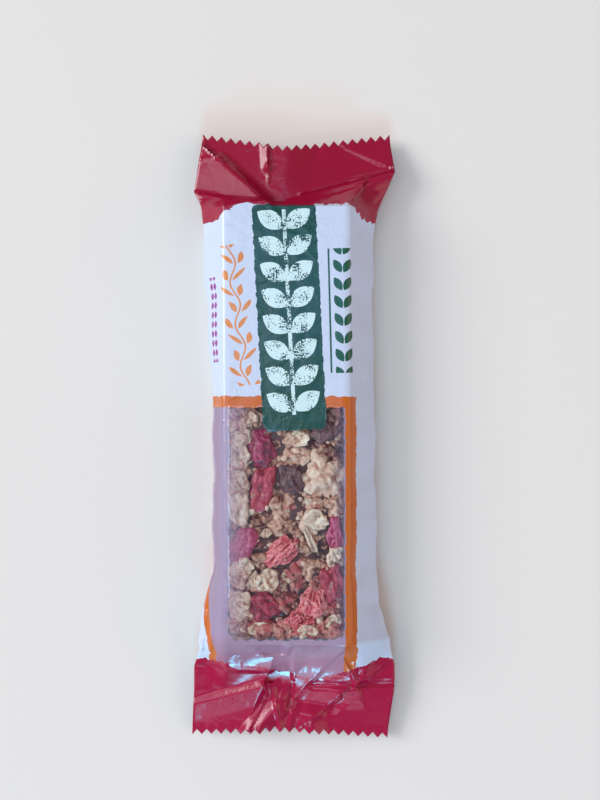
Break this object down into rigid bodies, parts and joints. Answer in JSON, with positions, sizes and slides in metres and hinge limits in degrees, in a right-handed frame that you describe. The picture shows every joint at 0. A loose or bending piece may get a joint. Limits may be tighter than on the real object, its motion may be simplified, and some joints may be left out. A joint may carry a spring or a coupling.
{
  "type": "granola bar in a flow-wrap pack",
  "caption": "Pressed oat and berry bar lying in a sealed film pack with crimped zigzag ends, a flat folded back seam and a clear window over the lower half.",
  "frame": {"origin": "on the surface that the pack lies on, below the middle of its box", "axes": "+X to the right of the printed front, +Y from the window end to the plain printed end, +Z out of the front"},
  "size_m": [0.0508, 0.1514, 0.0146],
  "materials": {
    "wrapper_film": "satin white printed film with glossy red ends, a green label, an orange frame and a clear window",
    "pressed_oats": "rough beige oats and crisps bound with syrup",
    "dark_fruit": "wrinkled magenta dried berry, half glossy",
    "coral_fruit": "porous coral dried strawberry",
    "black_fruit": "wrinkled nearly black dried currant"
  },
  "bodies": {
    "root": {"wrapper": "wrapper_film", "bar": "pressed_oats", "berry_long_upper": "dark_fruit", "berry_long_lower": "dark_fruit", "berry_left": "dark_fruit", "berry_right_upper": "dark_fruit", "berry_right_lower": "dark_fruit", "berry_bottom": "dark_fruit", "strawberry_middle": "coral_fruit", "strawberry_right": "coral_fruit", "strawberry_low": "coral_fruit", "currant_upper": "black_fruit", "currant_middle": "black_fruit"}
  },
  "joints": []
}
